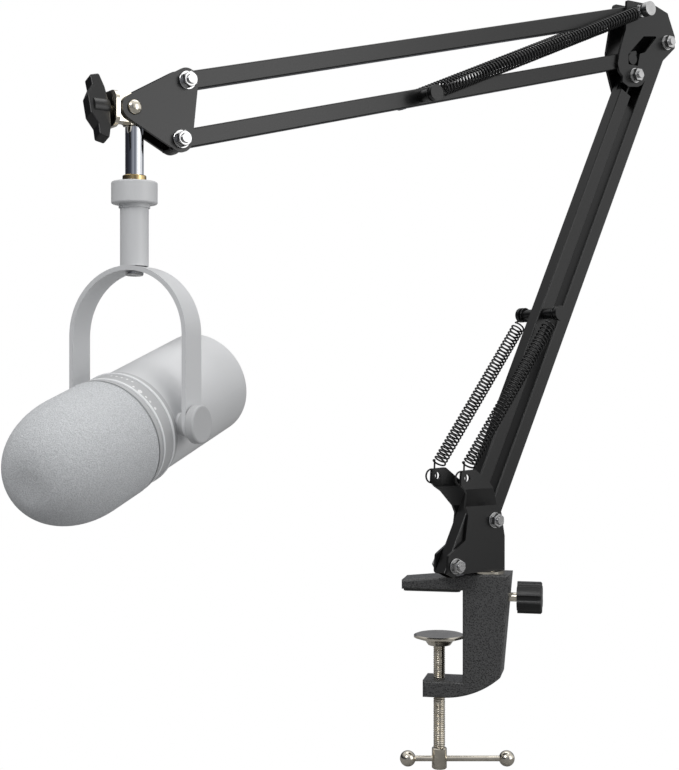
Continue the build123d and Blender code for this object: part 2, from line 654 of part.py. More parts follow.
def yoke_knob(end):
    start = YOKE_HALF + 0.3
    stop = start + YOKE_KNOB_THICK
    knob = across(end, start, stop, YOKE_KNOB_R)
    knob = fillet(knob.edges(), 1.2)
    stud = across(end, BODY_R - 5.0, start, YOKE_STUD_R)
    return mic_place(knob + stud)


def yoke_washers():
    return mic_place(group([
        across(end, BODY_R + 1.2, YOKE_HALF - YOKE_THICK - 0.2, YOKE_PAD_R)
        - across(end, BODY_R, YOKE_HALF, YOKE_STUD_R + 0.15) for end in (-1, 1)]))


# ---- microphone body, drawn with its nose along +Z ----
def body_tube():
    tube = upright(BODY_R, -BODY_REAR + 3.0, BODY_FRONT)
    tube = fillet(tube.edges().sort_by(Axis.Z)[-1], 0.8)
    tube -= upright(BODY_R - BODY_WALL, -BODY_REAR, BODY_FRONT + 1)
    for end in (-1, 1):
        tube += across(end, BODY_R - BODY_WALL - 2.0, BODY_R + 1.2, YOKE_PAD_R)
        tube -= across(end, BODY_R - BODY_WALL - 4.0, BODY_R + 3, YOKE_STUD_R + 0.1)
    return nose_place(tube)


def rear_cap():
    cap = upright(BODY_R, -BODY_REAR, -BODY_REAR + 3.0)
    cap = fillet(cap.edges().sort_by(Axis.Z)[0], 2.4)
    cap += upright(BODY_R - BODY_WALL - 0.05, -BODY_REAR + 3.0, -BODY_REAR + 8.0)
    cap -= upright(BODY_R - BODY_WALL - 3.0, -BODY_REAR + 3.0, -BODY_REAR + 9.0)
    cap -= Pos(0, 8.0, 0) * upright(11.0, -BODY_REAR - 1, -BODY_REAR + 9.0)
    cap -= Pos(-9.0, -14.0, 0) * upright(3.4, -BODY_REAR - 1, -BODY_REAR + 9.0)
    cap -= Pos(9.0, -14.0, -BODY_REAR) * Box(9.2, 4.0, 20)
    return nose_place(cap)


def xlr_socket():
    shell = Pos(0, 8.0, 0) * upright(10.95, -BODY_REAR + 0.5, -BODY_REAR + 18.0)
    well = Pos(0, 8.0, 0) * upright(9.6, -BODY_REAR, -BODY_REAR + 14.0)
    pieces = [nose_place(shell - well)]
    for angle in (30, 150, 270):
        place = (5.6 * math.cos(angle * DEG), 8.0 + 5.6 * math.sin(angle * DEG))
        pin = Pos(place[0], place[1], 0) * upright(1.2, -BODY_REAR + 3.0, -BODY_REAR + 14.0)
        pieces.append(nose_place(pin))
    return group(pieces)


def usb_socket():
    shell = Pos(9.0, -14.0, -BODY_REAR + 6.0) * Box(9.0, 3.8, 11.0)
    shell -= Pos(9.0, -14.0, -BODY_REAR + 4.0) * Box(8.2, 2.9, 11.0)
    tongue = Pos(9.0, -14.0, -BODY_REAR + 6.5) * Box(6.0, 0.7, 6.0)
    return nose_place(shell + tongue)


def headphone_socket():
    barrel = Pos(-9.0, -14.0, 0) * upright(3.35, -BODY_REAR + 0.4, -BODY_REAR + 14.0)
    bore = Pos(-9.0, -14.0, 0) * upright(1.75, -BODY_REAR, -BODY_REAR + 13.0)
    return nose_place(barrel - bore)


def control_ring():
    ring = upright(RING_R, BODY_FRONT, RING_FRONT)
    ring -= upright(RING_R - 2.5, BODY_FRONT - 1, RING_FRONT + 1)
    return nose_place(ring)


def ring_trims():
    trims = []
    for low in (BODY_FRONT + 3.2, RING_FRONT - 3.2 - TRIM_THICK):
        trim = upright(TRIM_R, low, low + TRIM_THICK)
        trim = fillet(trim.edges(), 0.5)
        trims.append(nose_place(trim - upright(RING_R, low - 1, low + TRIM_THICK + 1)))
    return group(trims)


def foam_stop():
    stop = upright(TRIM_R + 0.5, RING_FRONT, RING_FRONT + 1.6)
    return nose_place(stop - upright(GRILLE_R - 2.0, RING_FRONT - 1, RING_FRONT + 3))


def dome(radius, start, shoulder, tip, flat):
    """Half profile of a basket or foam: straight side, then a rounded nose."""
    nose = EllipticalCenterArc((flat, shoulder), radius - flat, tip - shoulder, start_angle=0, arc_size=90)
    return [Line((0, start), (radius, start)), Line((radius, start), (radius, shoulder)), nose,
            Line((flat, tip), (0, tip)), Line((0, tip), (0, start))]


def turned(edges):
    return revolve(Plane.XZ * make_face(edges), Axis.Z)


def grille_basket():
    start = RING_FRONT + 1.6
    outer = turned(dome(GRILLE_R, start, 58.0, GRILLE_TIP, 8.0))
    inner = turned(dome(GRILLE_R - GRILLE_WALL, start - 1, 58.0, GRILLE_TIP - GRILLE_WALL, 8.0))
    return nose_place(outer - inner)


def foam_windscreen():
    outer = turned(dome(FOAM_R, FOAM_REAR, FOAM_SHOULDER, FOAM_TIP, 8.0))
    outer = fillet(outer.edges().sort_by(Axis.Z)[0], 2.0)
    gap = 0.4
    inner = turned(dome(GRILLE_R + gap, FOAM_REAR - 1, 58.0, GRILLE_TIP + gap, 8.0))
    return nose_place(outer - inner)


def capsule():
    can = upright(CAPSULE_R, 34.0, 52.0)
    can = fillet(can.edges(), 1.0)
    return nose_place(can)


def capsule_mount():
    ring = upright(GRILLE_R - GRILLE_WALL - 0.4, 38.0, 42.0) - upright(CAPSULE_R, 30.0, 60.0)
    for i in range(6):
        ring -= Rot(0, 0, i * 60) * Pos(20.0, 0, 40.0) * Cylinder(2.8, 20)
    return nose_place(ring)


def circuit_board():
    board = Pos(0, 0, -24.0) * Box(46.0, 1.6, 60.0)
    for place in ((-12.0, -14.0), (10.0, -20.0), (0.0, -38.0)):
        board += Pos(place[0], 2.2, place[1]) * Box(9.0, 3.0, 7.0)
    return nose_place(board)


# ---- write every node ----
def main():
    save("clamp_frame", clamp_frame())
    save("jaw_pad", jaw_pad())
    save("swivel_bush", swivel_bush())
    save("lock_screw", lock_screw())
    save("lock_knob", lock_knob())
    save("press_pad", press_pad())
    save("clamp_screw", clamp_screw())
    save("tommy_bar", tommy_bar())
    save("tommy_ball_ends", tommy_balls())

    save("base_bracket", to_row(base_bracket()))
    save("swivel_pin", to_row(swivel_pin()))
    bolt_set("base", [BASE_LEFT, BASE_RIGHT])

    hole = BOLT_R + PIVOT_CLEAR
    pin_hole = SPRING_PIN_R
    lower_holes = [(BASE_LEFT, hole), (ELBOW_LEFT, hole), (LOWER_SPRING_PIN, pin_hole)]
    save("lower_inner_bar", to_row(bar(BASE_LEFT, LOWER_DIR, LOWER_LENGTH, lower_holes, lap=1)))
    outer_holes = [(BASE_RIGHT, hole), (ELBOW_RIGHT, hole)]
    save("lower_outer_bar", to_row(bar(BASE_RIGHT, LOWER_DIR, LOWER_LENGTH, outer_holes)))
    save("lower_spring_pin", to_row(spring_pin(LOWER_SPRING_PIN)))
    upper_holes = [(ELBOW_LOW, hole), (HEAD_LOW, hole), (UPPER_SPRING_PIN, pin_hole)]
    back = (-UPPER_DIR[0], -UPPER_DIR[1])
    save("upper_bottom_bar", to_row(bar(HEAD_LOW, back, UPPER_LENGTH, upper_holes, lap=-1)))
    top_holes = [(ELBOW_HIGH, hole), (HEAD_HIGH, hole)]
    save("upper_top_bar", to_row(bar(HEAD_HIGH, back, UPPER_LENGTH, top_holes)))
    save("upper_spring_pin", to_row(spring_pin(UPPER_SPRING_PIN)))

    for name, n in (("front", SPRING_N), ("rear", -SPRING_N)):
        ear = (EAR_U, EAR_V)
        save("lower_spring_" + name, to_row(spring(LOWER_SPRING_PIN, ear, n, True)))
        save("upper_spring_" + name, to_row(spring(UPPER_SPRING_PIN, ELBOW_HIGH, n, False)))

    save("elbow_front_plate", to_row(elbow_front_plate()))
    save("elbow_rear_plate", to_row(elbow_rear_plate()))
    save("elbow_pin", to_row(elbow_pin()))
    bolt_set("elbow", [ELBOW_LEFT, ELBOW_RIGHT], [elbow_spring_bolt()], elbow_spring_nuts())

    save("head_front_plate", to_row(head_plate(INNER, OUTER)))
    save("head_rear_plate", to_row(head_plate(-OUTER, -INNER)))
    save("head_rivets", to_row(head_rivets()))
    bolt_set("head", [HEAD_HIGH, HEAD_LOW])
    save("knuckle", to_row(knuckle()))
    save("knuckle_flange", to_row(knuckle_flange()))
    save("wing_screw", to_row(wing_screw()))
    save("wing_knob", to_row(wing_knob()))
    save("mic_post", to_row(mic_post()))
    save("thread_adapter", to_row(thread_adapter()))

    save("yoke_collar", to_row(yoke_collar()))
    save("yoke_stem", to_row(yoke_stem()))
    save("yoke_band", to_row(yoke_band()))
    save("yoke_screw", to_row(yoke_screw()))
    save("yoke_washers", to_row(yoke_washers()))
    save("yoke_knob_right", to_row(yoke_knob(1)))
    save("yoke_knob_left", to_row(yoke_knob(-1)))

    save("body_tube", to_row(body_tube()))
    save("rear_cap", to_row(rear_cap()))
    save("xlr_socket", to_row(xlr_socket()))
    save("usb_socket", to_row(usb_socket()))
    save("headphone_socket", to_row(headphone_socket()))
    save("control_ring", to_row(control_ring()))
    save("ring_trims", to_row(ring_trims()))
    save("foam_stop", to_row(foam_stop()))
    save("grille_basket", to_row(grille_basket()))
    save("capsule", to_row(capsule()))
    save("capsule_mount", to_row(capsule_mount()))
    save("circuit_board", to_row(circuit_board()))
    save("foam_windscreen", to_row(foam_windscreen()))


main()
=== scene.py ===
# %% [markdown]
# # A microphone on a sprung boom arm
# The object is a broadcast microphone in a forked yoke. It hangs from a black scissor
# arm that clamps to a desk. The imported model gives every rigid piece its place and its
# body, so this lesson is about what the model leaves out: open coil springs, threads,
# nuts with turned chamfers, a foam windscreen, and a finish for every surface.

import json
import math

import bmesh
import bpy
from mathutils import Matrix, Vector


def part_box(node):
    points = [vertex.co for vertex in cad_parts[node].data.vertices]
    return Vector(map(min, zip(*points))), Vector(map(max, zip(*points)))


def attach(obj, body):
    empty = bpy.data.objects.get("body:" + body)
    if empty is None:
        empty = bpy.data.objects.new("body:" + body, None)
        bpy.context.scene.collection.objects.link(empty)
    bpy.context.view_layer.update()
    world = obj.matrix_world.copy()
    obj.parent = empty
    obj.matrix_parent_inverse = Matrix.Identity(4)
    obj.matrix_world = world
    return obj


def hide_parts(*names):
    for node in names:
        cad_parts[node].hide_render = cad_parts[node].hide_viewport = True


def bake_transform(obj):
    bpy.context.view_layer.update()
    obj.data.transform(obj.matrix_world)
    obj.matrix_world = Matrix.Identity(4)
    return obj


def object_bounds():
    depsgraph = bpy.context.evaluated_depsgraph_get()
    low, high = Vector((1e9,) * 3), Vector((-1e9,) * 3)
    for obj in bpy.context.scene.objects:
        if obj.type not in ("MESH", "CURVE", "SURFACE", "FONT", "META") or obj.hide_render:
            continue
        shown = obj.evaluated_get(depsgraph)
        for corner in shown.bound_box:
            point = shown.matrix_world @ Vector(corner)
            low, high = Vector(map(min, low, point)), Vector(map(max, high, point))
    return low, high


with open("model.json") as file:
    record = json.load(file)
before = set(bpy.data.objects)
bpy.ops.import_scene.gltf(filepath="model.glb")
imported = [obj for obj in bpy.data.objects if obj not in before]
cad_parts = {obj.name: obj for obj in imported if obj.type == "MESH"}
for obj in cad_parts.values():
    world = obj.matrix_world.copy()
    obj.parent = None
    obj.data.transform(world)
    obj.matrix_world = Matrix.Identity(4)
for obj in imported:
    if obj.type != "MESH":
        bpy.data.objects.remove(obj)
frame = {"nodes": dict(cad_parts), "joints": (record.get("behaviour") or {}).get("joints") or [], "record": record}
nodes = frame["nodes"]
cad_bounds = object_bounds()
joints = {joint["name"]: joint for joint in frame["joints"]}

# %% [markdown]
# ## Directions and pivots
# The arm lies in one upright plane. Three directions describe it: out of the plane
# towards the front, along the desk, and up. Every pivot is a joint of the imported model,
# so the fasteners and springs below are placed from those and can't drift away.

# %% Directions and pivots
OUT = Vector(joints["lower_arm_tilt"]["axis"]).normalized()
UP = Vector((0, 0, 1))
ALONG = UP.cross(OUT) * -1


def pivot(name):
    return Vector(joints[name]["pos_m"])


base_left = pivot("lower_arm_tilt")
base_right = pivot("lower_link_tilt")
elbow_left = pivot("elbow_level")
elbow_low = pivot("upper_arm_tilt")
elbow_high = pivot("upper_link_tilt")
head_low = pivot("head_level")
head_high = head_low + elbow_high - elbow_low
print("lower arm", round((elbow_left - base_left).length * 1000, 1), "mm, direction along", ALONG)

# %% [markdown]
# ## Camera
# A long lens at the height of the arm's middle keeps the uprights upright, as in a
# catalogue picture. The camera is level and has no shift, so other views stay true.

# %% Camera
camera_data = bpy.data.cameras.new("camera")
camera_data.sensor_fit = "VERTICAL"
camera_data.sensor_height = 36.0
camera_data.lens = 64.37
camera_data.clip_start = 0.05
camera = bpy.data.objects.new("camera", camera_data)
camera.location = (0.1259, -0.9127, 0.1362)
camera.rotation_euler = (math.radians(90), 0, math.radians(12))
bpy.context.scene.collection.objects.link(camera)
bpy.context.scene.camera = camera
bpy.context.scene.view_settings.view_transform = "Standard"
print("camera at", tuple(camera.location))

# %% [markdown]
# ## Node trees as sentences
# A tree of nodes is easier to read as sums than as wires. Value wraps one output and
# turns + - * into Math nodes. Tree has one method that makes any other node: its
# settings come first, because some of them change which sockets the node has.

# %% Value and Tree
class Value:
    def __init__(self, tree, socket):
        self.tree = tree
        self.socket = socket

    def maths(self, operation, first, second):
        return self.tree.node("ShaderNodeMath", {"operation": operation}, {0: first, 1: second})

    def __add__(self, other):
        return self.maths("ADD", self, other)

    def __sub__(self, other):
        return self.maths("SUBTRACT", self, other)

    def __rsub__(self, other):
        return self.maths("SUBTRACT", other, self)

    def __mul__(self, other):
        return self.maths("MULTIPLY", self, other)

    __radd__ = __add__
    __rmul__ = __mul__


class Tree:
    def __init__(self, tree):
        self.tree = tree

    def node(self, kind, settings=None, sockets=None, output=0):
        made = self.tree.nodes.new(kind)
        for key, value in (settings or {}).items():
            if key == "stops":
                ramp = made.color_ramp.elements
                while len(ramp) < len(value):
                    ramp.new(0.5)
                for element, (place, colour) in zip(ramp, value):
                    element.position = place
                    element.color = colour
            else:
                setattr(made, key, value)
        for key, value in (sockets or {}).items():
            if isinstance(value, Value):
                self.tree.links.new(value.socket, made.inputs[key])
            else:
                made.inputs[key].default_value = value
        return Value(self, made.outputs[output])


print("expression classes ready")

# %% [markdown]
# ## Finishes
# Each finish is a Principled shader whose colour, roughness and small relief come from
# noise in Object coordinates, in metres, so a grain of 1 mm is 1 mm on every piece.
# A finish starts from the same few values: where we are on the piece, a broad mottle
# that stops a surface looking flat, and a fine grain that the light catches.

# %% Finish
class Finish(Tree):
    def __init__(self, name):
        self.material = bpy.data.materials.new(name)
        self.material.use_nodes = True
        super().__init__(self.material.node_tree)
        self.tree.nodes.clear()
        self.place = self.node("ShaderNodeTexCoord", output="Object")

    def noise(self, per_metre, detail=3.0, rough=0.55, place=None):
        return self.node("ShaderNodeTexNoise", {}, {
            "Vector": place or self.place, "Scale": per_metre, "Detail": detail, "Roughness": rough}, "Fac")

    def cells(self, per_metre, randomness=1.0):
        return self.node("ShaderNodeTexVoronoi", {}, {
            "Vector": self.place, "Scale": per_metre, "Randomness": randomness}, "Distance")

    def blend(self, amount, low, high):
        return self.node("ShaderNodeMix", {"data_type": "RGBA"}, {0: amount, 6: low, 7: high}, 2)

    def ramp(self, value, stops):
        grey = [(place, (level, level, level, 1)) for place, level in stops]
        return self.node("ShaderNodeValToRGB", {"stops": grey}, {"Fac": value})

    def bump(self, height, depth, strength=1.0):
        return self.node("ShaderNodeBump", {}, {"Height": height, "Distance": depth, "Strength": strength})

    def surface(self, **sockets):
        names = {key.replace("_", " "): value for key, value in sockets.items()}
        shader = self.node("ShaderNodeBsdfPrincipled", {}, names)
        self.node_output(shader)
        return self.material

    def node_output(self, shader):
        made = self.tree.nodes.new("ShaderNodeOutputMaterial")
        self.tree.links.new(shader.socket, made.inputs["Surface"])


def shade(level, warm=0.0):
    """A near-grey colour: warm above 0 leans to yellow, below 0 to blue."""
    return (level * (1 + warm), level, level * (1 - warm), 1)


print("finish class ready")

# %% [markdown]
# ### Painted and cast surfaces
# The arm has a satin powder coat: nearly smooth, with the faint orange peel that powder
# leaves. The clamp has a crinkled black coat over a casting: coarse black grains about a
# millimetre across, with a painted highlight on the raised grains and painted shade in
# the pits. Both are the same recipe with a different grain and depth.

# %% Powder coat, crinkle coat
def coat(name, level, grain, depth, rough, spread=0.08):
    f = Finish(name)
    mottle = f.noise(35, 2.0)
    fine = f.noise(grain, 4.0, 0.6)
    colour = f.blend(mottle * 0.7 + fine * 0.3, shade(level * 0.72, -0.01), shade(level * 1.35, -0.01))
    return f.surface(Base_Color=colour, Roughness=rough + (fine - 0.5) * spread, Specular_IOR_Level=0.5,
                     Normal=f.bump(fine, depth))


def crinkle():
    f = Finish("crinkle coat")
    lumps = f.noise(1300, 3.0, 0.6)
    pits = f.ramp(f.cells(900), [(0.0, 0.0), (0.55, 1.0)])
    height = lumps * 0.65 + pits * 0.35
    # Painted light: raised lumps are painted lighter as a highlight, and the pits near black as painted shade.
    colour = f.blend(f.ramp(height, [(0.4, 0.0), (0.72, 1.0)]), shade(0.004), shade(0.09))
    return f.surface(Base_Color=colour, Roughness=0.58 - height * 0.25, Normal=f.bump(height, 0.00035))


finishes = {
    "coat_black": coat("satin powder coat", 0.005, 1500, 0.0000012, 0.3, 0.02),
    "cast_black": crinkle(),
    "black_plastic": coat("moulded black plastic", 0.006, 900, 0.00002, 0.34),
    "pad_rubber": coat("rubber sheet", 0.02, 2400, 0.00006, 0.8),
    "spring_black": coat("oiled black wire", 0.004, 1200, 0.00001, 0.22),
}
print("black finishes", len(finishes))

# %% [markdown]
# ### Bright metal
# Nickel, zinc, chrome and brass differ in tint and in how far the polish has gone.
# Fine scratches run in no direction here, because most pieces are turned or tumbled,
# and a slow change of roughness keeps the reflections alive.

# %% Plated metals
def plate(name, colour, rough, grain=2500, depth=0.000004, mottle_depth=0.3):
    f = Finish(name)
    mottle = f.noise(90, 3.0)
    fine = f.noise(grain, 3.0)
    dark = tuple(c * (1 - mottle_depth) for c in colour) + (1,)
    tint = f.blend(f.ramp(mottle, [(0.3, 0.0), (0.7, 1.0)]), dark, colour + (1,))
    return f.surface(Base_Color=tint, Metallic=1.0, Roughness=rough + mottle * rough * 0.5,
                     Normal=f.bump(fine, depth))


finishes.update({
    "nickel": plate("warm nickel plate", (0.92, 0.86, 0.74), 0.12),
    "zinc": plate("bright zinc plate", (0.66, 0.66, 0.66), 0.19),
    "chrome": plate("polished chrome", (0.86, 0.88, 0.92), 0.04, mottle_depth=0.05),
    "brass": plate("bright brass", (0.83, 0.62, 0.3), 0.18),
    "mesh": plate("basket steel", (0.5, 0.5, 0.51), 0.35),
})
print("finishes so far", len(finishes))

# %% [markdown]
# ### The pale microphone
# Body, yoke and collar have a soft pale grey paint with a very fine texture. The side
# knobs and the control ring are moulded in a slightly darker grey. The circuit board
# hides inside and only needs its green.

# %% Pale grey paint, plastics and board
def pale(name, level, grain, depth, rough):
    f = Finish(name)
    mottle = f.noise(22, 2.0)
    fine = f.noise(grain, 4.0, 0.65)
    colour = f.blend(mottle * 0.5 + fine * 0.5, shade(level * 0.93, -0.012), shade(level * 1.07, -0.008))
    return f.surface(Base_Color=colour, Roughness=rough + (fine - 0.5) * 0.15, Normal=f.bump(fine, depth))


def board():
    f = Finish("circuit board")
    tracks = f.ramp(f.noise(300, 1.0), [(0.48, 0.0), (0.52, 1.0)])
    colour = f.blend(tracks, (0.01, 0.09, 0.03, 1), (0.03, 0.16, 0.06, 1))
    return f.surface(Base_Color=colour, Roughness=0.4 + tracks * 0.1)


finishes.update({
    "grey_metal": pale("pale grey paint", 0.7, 2600, 0.00001, 0.4),
    "grey_plastic": pale("pale grey plastic", 0.52, 1500, 0.00001, 0.42),
    "board": board(),
})
print("finishes so far", len(finishes))

# %% [markdown]
# ### Foam
# Open-cell foam is full of tiny holes. Two sizes of cells give the speckle: their dark
# middles are painted shade in the holes, their light walls are the foam's pale grey, and
# the same cells push the surface in and out.

# %% Foam
def foam():
    f = Finish("open-cell foam")
    small = f.ramp(f.cells(1900), [(0.1, 0.0), (0.6, 1.0)])
    large = f.ramp(f.noise(1300, 2.0, 0.7), [(0.4, 0.0), (0.62, 1.0)])
    pores_and_painted_shade = small * 0.5 + large * 0.5
    # Painted shade: the cell middles are darker to stand for shade down in the pores; the walls keep the foam's pale
    # grey.
    colour = f.blend(pores_and_painted_shade, shade(0.44, -0.025), shade(0.72, -0.02))
    return f.surface(Base_Color=colour, Roughness=0.95, Specular_IOR_Level=0.2, Normal=f.bump(pores_and_painted_shade, 0.0002))


finishes["foam"] = foam()
print("finishes", sorted(finishes))

# %% [markdown]
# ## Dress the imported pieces
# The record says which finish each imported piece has. Giving a material to a piece is
# only a change of its slot, so the mesh stays as it was packed.

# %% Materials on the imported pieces
for entry in frame["record"]["subparts"]:
    mesh = nodes[entry["node"]].data
    mesh.materials.clear()
    mesh.materials.append(finishes[entry["material_slot"]])
# The trims get a lighter grey than the body; part of that lightness is a painted highlight along the trims.
nodes["ring_trims"].data.materials[0] = pale("bright trim", 0.88, 2600, 0.000005, 0.22)
print("dressed", len(nodes), "pieces")

# %% [markdown]
# ## Making shapes by rule
# Springs, threads, nuts and washers repeat, so Geometry Nodes make them. Shape is a
# Tree with named inputs. make() puts the tree on an object, sets its inputs by their
# identifiers, evaluates it once, and keeps the plain mesh that comes out.

# %% Shape trees
class Shape(Tree):
    def __init__(self, name, **sizes):
        self.group = bpy.data.node_groups.new(name, "GeometryNodeTree")
        super().__init__(self.group)
        sides = self.group.interface
        sides.new_socket("Geometry", in_out="INPUT", socket_type="NodeSocketGeometry")
        self.keys = {}
        for key in sizes:
            kind = "NodeSocketInt" if isinstance(sizes[key], int) else "NodeSocketFloat"
            self.keys[key] = sides.new_socket(key, in_out="INPUT", socket_type=kind).identifier
        sides.new_socket("Geometry", in_out="OUTPUT", socket_type="NodeSocketGeometry")
        self.entry = self.group.nodes.new("NodeGroupInput")

    def size(self, key):
        return Value(self, self.entry.outputs[key])

    def points(self):
        return Value(self, self.entry.outputs["Geometry"])

    def join(self, *parts):
        made = self.group.nodes.new("GeometryNodeJoinGeometry")
        for part in parts:
            self.group.links.new(part.socket, made.inputs[0])
        return Value(self, made.outputs[0])

    def finish(self, geometry, material):
        real = self.node("GeometryNodeRealizeInstances", {}, {0: geometry})
        dressed = self.node("GeometryNodeSetMaterial", {}, {"Geometry": real, "Material": material})
        leave = self.group.nodes.new("NodeGroupOutput")
        self.group.links.new(dressed.socket, leave.inputs[0])
        return self


def plain_object(name, mesh):
    made = bpy.data.objects.new(name, mesh)
    bpy.context.scene.collection.objects.link(made)
    return made


def make(shape, name, points=None, place=None, smooth=False, **sizes):
    """Run a shape's tree once, and return its result as a plain mesh object."""
    seed = bpy.data.meshes.new(name + " points")
    seed.from_pydata([tuple(p) for p in (points or [(0, 0, 0)])], [], [])
    holder = plain_object(name + " tree", seed)
    modifier = holder.modifiers.new("shape", "NODES")
    modifier.node_group = shape.group
    for key, value in sizes.items():
        modifier[shape.keys[key]] = value
    bpy.context.view_layer.update()
    ready = holder.evaluated_get(bpy.context.evaluated_depsgraph_get())
    mesh = bpy.data.meshes.new_from_object(ready)
    bpy.data.objects.remove(holder)
    if place is not None:
        mesh.transform(place)
    mesh.name = name
    for polygon in mesh.polygons:
        polygon.use_smooth = smooth
    made = plain_object(name, mesh)
    print(name, len(mesh.polygons), "faces")
    return made


# %% [markdown]
# ## Open coil springs
# Each arm has a pair of extension springs, one on either side of the bars. A spiral
# curve with a round wire profile is the coil, and a ring of the same wire at each end
# hooks over its pin. One tree makes all four, with its length, turns and wire as inputs.
# A spring joins two bodies, and it is not attached to either of them.

# %% Spring tree
WIRE = 0.0006
COIL = 0.0041
spring_sizes = dict(Length=0.12, Coil=COIL, Wire=WIRE, Turns=40.0, Reach=0.010)
spring_shape = Shape("coil spring", **spring_sizes)


def spring_tree(s):
    length, coil, wire, reach = (s.size(k) for k in ("Length", "Coil", "Wire", "Reach"))
    spiral = s.node("GeometryNodeCurveSpiral", {}, {
        "Resolution": 18, "Rotations": s.size("Turns"), "Start Radius": coil, "End Radius": coil,
        "Height": length - 2 * reach})
    lift = s.node("ShaderNodeCombineXYZ", {}, {"Z": reach})
    spiral = s.node("GeometryNodeTransform", {}, {"Geometry": spiral, "Translation": lift})
    ring = s.node("GeometryNodeCurvePrimitiveCircle", {}, {"Resolution": 28, "Radius": coil + 0.0003})
    near = s.node("GeometryNodeTransform", {}, {"Geometry": ring, "Rotation": (math.pi / 2, 0, 0)})
    end = s.node("ShaderNodeCombineXYZ", {}, {"Z": length})
    far = s.node("GeometryNodeTransform", {}, {"Geometry": near, "Translation": end})

    def spot(**at):
        return s.node("ShaderNodeCombineXYZ", {}, at)

    neck_ends = ((spot(Z=coil), spot(X=coil, Z=reach)), (spot(X=coil, Z=length - reach), spot(Z=length - coil)))
    necks = [s.node("GeometryNodeCurvePrimitiveLine", {}, {"Start": low, "End": high}) for low, high in neck_ends]
    wires = s.join(spiral, near, far, *necks)
    round_wire = s.node("GeometryNodeCurvePrimitiveCircle", {}, {"Resolution": 8, "Radius": wire})
    tube = s.node("GeometryNodeCurveToMesh", {}, {"Curve": wires, "Profile Curve": round_wire, "Fill Caps": True})
    return s.finish(tube, finishes["spring_black"])


spring_tree(spring_shape)


def aim(start, end):
    """A place whose +Z runs from start to end, and whose +Y is out of the arm's plane."""
    z = (end - start).normalized()
    y = OUT
    x = y.cross(z).normalized()
    turn = Matrix((x, y, z)).transposed().to_4x4()
    return Matrix.Translation(start) @ turn


def middle(node):
    low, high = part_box(node)
    return (Vector(low) + Vector(high)) / 2


lower_pin = middle("lower_spring_pin")
upper_pin = middle("upper_spring_pin")
ear = base_left + ALONG * 0.0024 + UP * 0.0572
SPRING_OUT = 0.015
print("lower spring", round((ear - lower_pin).length * 1000), "mm")
print("upper spring", round((elbow_high - upper_pin).length * 1000), "mm")

# %% The four springs
for side, sign in (("front", 1), ("rear", -1)):
    shift = OUT * SPRING_OUT * sign
    for arm, start, end, a, b in (("lower", ear, lower_pin, "bracket", "lower_arm"),
                                  ("upper", elbow_high, upper_pin, "elbow", "upper_arm")):
        first, last = start + shift, end + shift
        span = (last - first).length
        name = arm + "_spring_" + side
        coil = make(spring_shape, name + "_coil", place=aim(first, last), smooth=True, Length=span, Coil=COIL,
                    Wire=WIRE, Reach=0.010, Turns=float(round((span - 0.02) / 0.0027)))
        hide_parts(name)
        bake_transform(coil)

# %% [markdown]
# ## Threads
# A thread is a ridge wound round a rod. The clamp screw shows a long one between its
# pad and its hub, and every bolt shows a turn or two beyond its nut. A three-sided
# profile on a spiral gives the sharp crest.

# %% Thread tree
thread_shape = Shape("thread", Length=0.05, Radius=0.004, Ridge=0.0005, Turns=40.0)


def thread_tree(s, material):
    radius = s.size("Radius")
    spiral = s.node("GeometryNodeCurveSpiral", {}, {
        "Resolution": 40, "Rotations": s.size("Turns"), "Start Radius": radius, "End Radius": radius,
        "Height": s.size("Length")})
    crest = s.node("GeometryNodeCurvePrimitiveCircle", {}, {"Resolution": 4, "Radius": s.size("Ridge")})
    ridge = s.node("GeometryNodeCurveToMesh", {}, {"Curve": spiral, "Profile Curve": crest, "Fill Caps": True})
    return s.finish(ridge, material)


thread_tree(thread_shape, finishes["nickel"])
hub_low, hub_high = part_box("clamp_screw")
SCREW_TIP = hub_high[2] - 0.001
HUB_TOP = hub_low[2] + 0.0145
screw_thread = make(thread_shape, "clamp_screw_thread", place=Matrix.Translation((0, 0, HUB_TOP)), smooth=True,
                    Length=SCREW_TIP - HUB_TOP, Radius=0.00345, Ridge=0.00055,
                    Turns=float(round((SCREW_TIP - HUB_TOP) / 0.00125)))
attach(screw_thread, "screw")

# %% [markdown]
# ## Nuts, washers and bolt tips
# A real hexagon nut is turned before it is cut, which leaves a curved chamfer on each
# corner. One ring of points at the end face is round, and the next is hexagonal and
# lower where the corner sticks out further. The same stack of rings makes a washer.
# Geometry Nodes then set one copy on every bolt.

# %% A stack of rings
def hexagon_radius(flats):
    def radius(angle):
        folded = (angle + math.pi / 6) % (math.pi / 3) - math.pi / 6
        return flats / 2 / math.cos(folded)
    return radius


def stack(name, rings, closed=True, around=48):
    """A mesh from rings of (height, radius), each a number or a rule of the angle, joined in order."""
    builder = bmesh.new()
    levels = []
    for height, radius in rings:
        level = []
        for i in range(around):
            angle = 2 * math.pi * i / around
            r = radius(angle) if callable(radius) else radius
            z = height(angle) if callable(height) else height
            level.append(builder.verts.new((r * math.cos(angle), r * math.sin(angle), z)))
        levels.append(level)
    pairs = list(zip(levels, levels[1:])) + ([(levels[-1], levels[0])] if closed else [])
    for low, high in pairs:
        for i in range(around):
            j = (i + 1) % around
            builder.faces.new((low[i], low[j], high[j], high[i]))
    bmesh.ops.recalc_face_normals(builder, faces=builder.faces)
    mesh = bpy.data.meshes.new(name)
    builder.to_mesh(mesh)
    builder.free()
    return mesh


FLATS, NUT, HOLE = 0.008, 0.004, 0.0025
corner = hexagon_radius(FLATS)


def chamfer(base, sign):
    return lambda angle: base - sign * (corner(angle) - FLATS / 2 * 0.94) * 0.55


